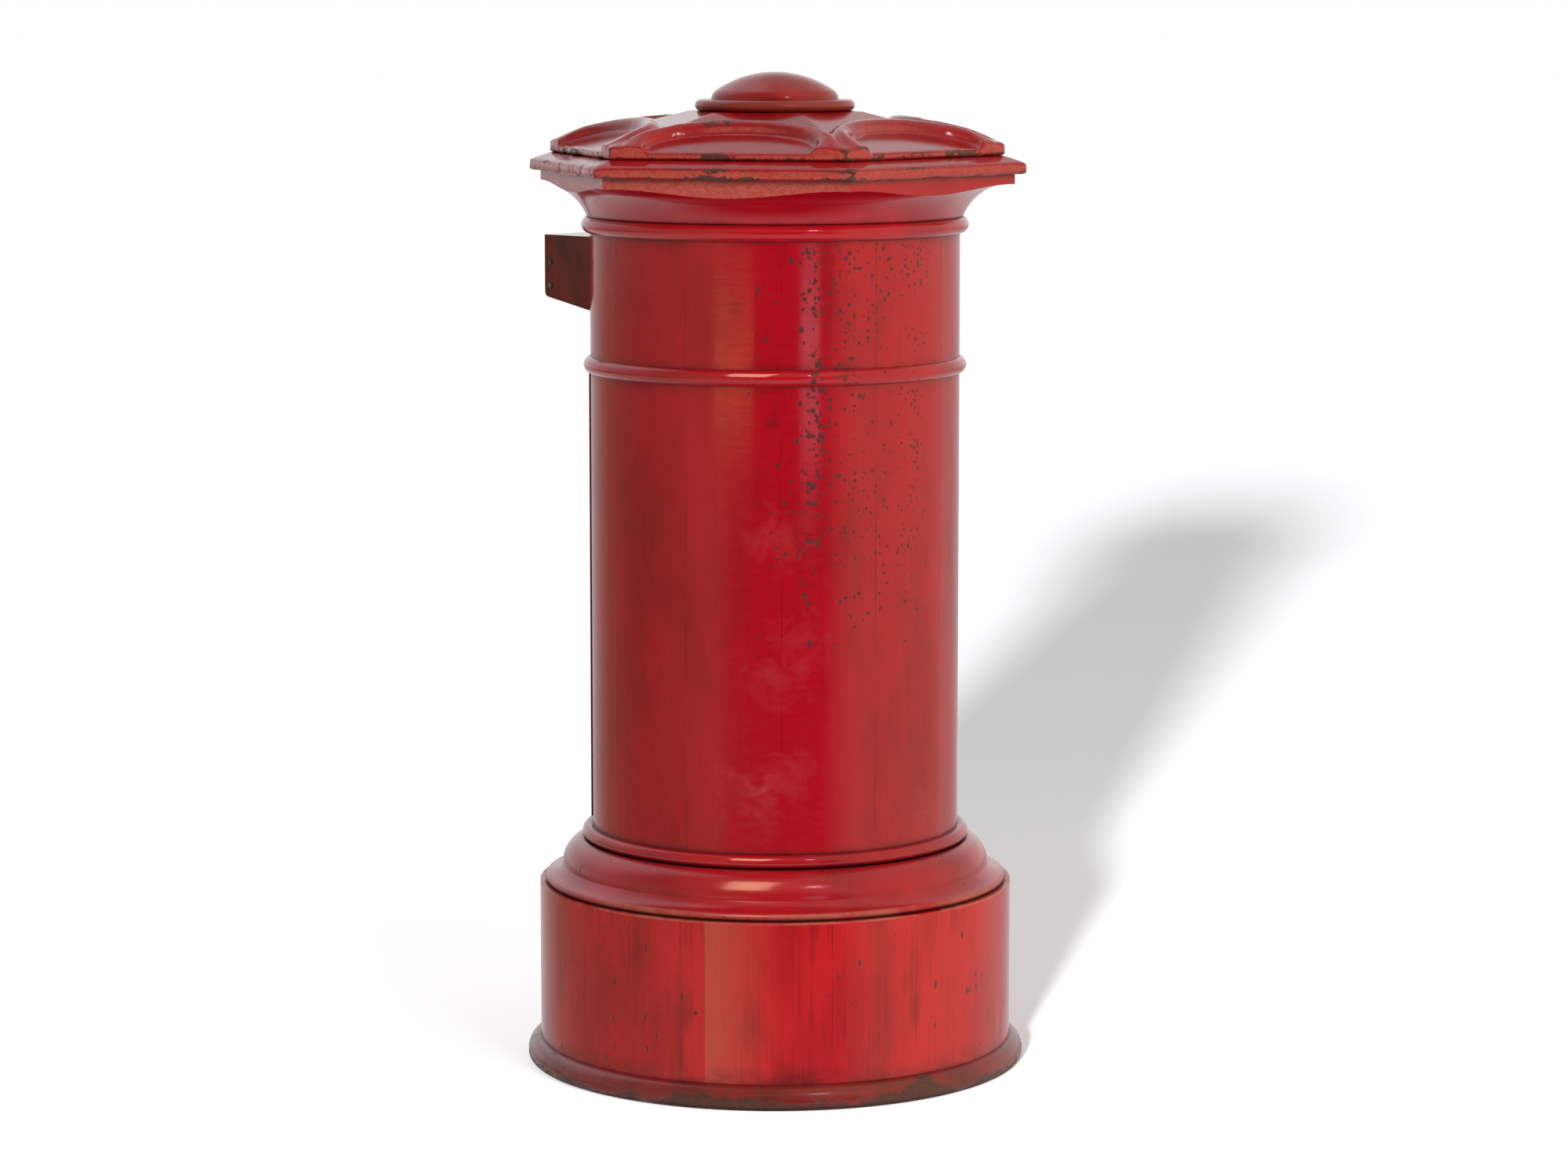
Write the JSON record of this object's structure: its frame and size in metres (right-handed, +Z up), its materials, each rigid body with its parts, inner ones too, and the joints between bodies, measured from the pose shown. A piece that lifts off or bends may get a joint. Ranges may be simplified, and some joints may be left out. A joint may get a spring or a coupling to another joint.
{
  "type": "pillar letter box",
  "caption": "Red-painted wooden pillar letter box with a carved six-sided cap, a boxed posting mouth and a curved hinged door with a rim lock.",
  "frame": {"origin": "on the pillar's axis, at the floor under the foot board", "axes": "+Z up; the posting mouth and the door face -Y; a corner of the cap points along +X"},
  "size_m": [0.3848, 0.3804, 0.7537],
  "materials": {
    "red_paint": "aged gloss red oil paint on softwood, worn and chipped at the edges",
    "bare_wood": "bare planed softwood, darkened with age",
    "brass": "dull aged brass",
    "steel": "dark oiled steel",
    "iron": "black japanned iron"
  },
  "bodies": {
    "carcase": {"cap_bed": "red_paint", "cap_slab": "red_paint", "door_sill": "red_paint", "door_stop": "bare_wood", "drum_stave_01": "red_paint", "drum_stave_02": "red_paint", "drum_stave_03": "red_paint", "drum_stave_04": "red_paint", "drum_stave_05": "red_paint", "drum_stave_06": "red_paint", "drum_stave_07": "red_paint", "drum_stave_08": "red_paint", "drum_stave_09": "red_paint", "finial": "red_paint", "floor_board": "bare_wood", "foot_board": "red_paint", "frame_screws": "steel", "head_stave_centre": "red_paint", "head_stave_left": "red_paint", "head_stave_right": "red_paint", "hinge_pins": "steel", "keep_plate": "brass", "lintel_stave": "red_paint", "lower_bead": "red_paint", "lower_hinge_frame_leaf": "brass", "middle_bead": "red_paint", "mouth_cheek_left": "red_paint", "mouth_cheek_right": "red_paint", "mouth_chute": "red_paint", "mouth_front": "red_paint", "mouth_nails": "steel", "mouth_top": "red_paint", "plinth_moulding": "red_paint", "plinth_stave_01": "red_paint", "plinth_stave_02": "red_paint", "plinth_stave_03": "red_paint", "plinth_stave_04": "red_paint", "plinth_stave_05": "red_paint", "plinth_stave_06": "red_paint", "plinth_stave_07": "red_paint", "plinth_stave_08": "red_paint", "plinth_stave_09": "red_paint", "plinth_stave_10": "red_paint", "plinth_stave_11": "red_paint", "plinth_stave_12": "red_paint", "roof": "red_paint", "top_board": "bare_wood", "upper_bead": "red_paint", "upper_hinge_frame_leaf": "brass"},
    "door": {"door_screws": "steel", "door_stave_centre": "red_paint", "door_stave_left": "red_paint", "door_stave_right": "red_paint", "keyhole_liner": "brass", "lock_case": "iron", "lower_hinge_door_leaf": "brass", "lower_ledge": "bare_wood", "upper_hinge_door_leaf": "brass", "upper_ledge": "bare_wood"},
    "bolt": {"lock_bolt": "steel"}
  },
  "joints": [
    {"name": "door_swing", "type": "hinge", "parent": "carcase", "child": "door", "pos_m": [-0.10211, -0.10267, 0.355], "axis": [0, 0, -1], "range_deg": [0, 105]},
    {"name": "bolt_throw", "type": "slide", "parent": "door", "child": "bolt", "axis": [0.8232, 0.5677, 0], "range_m": [0, 0.01]}
  ]
}
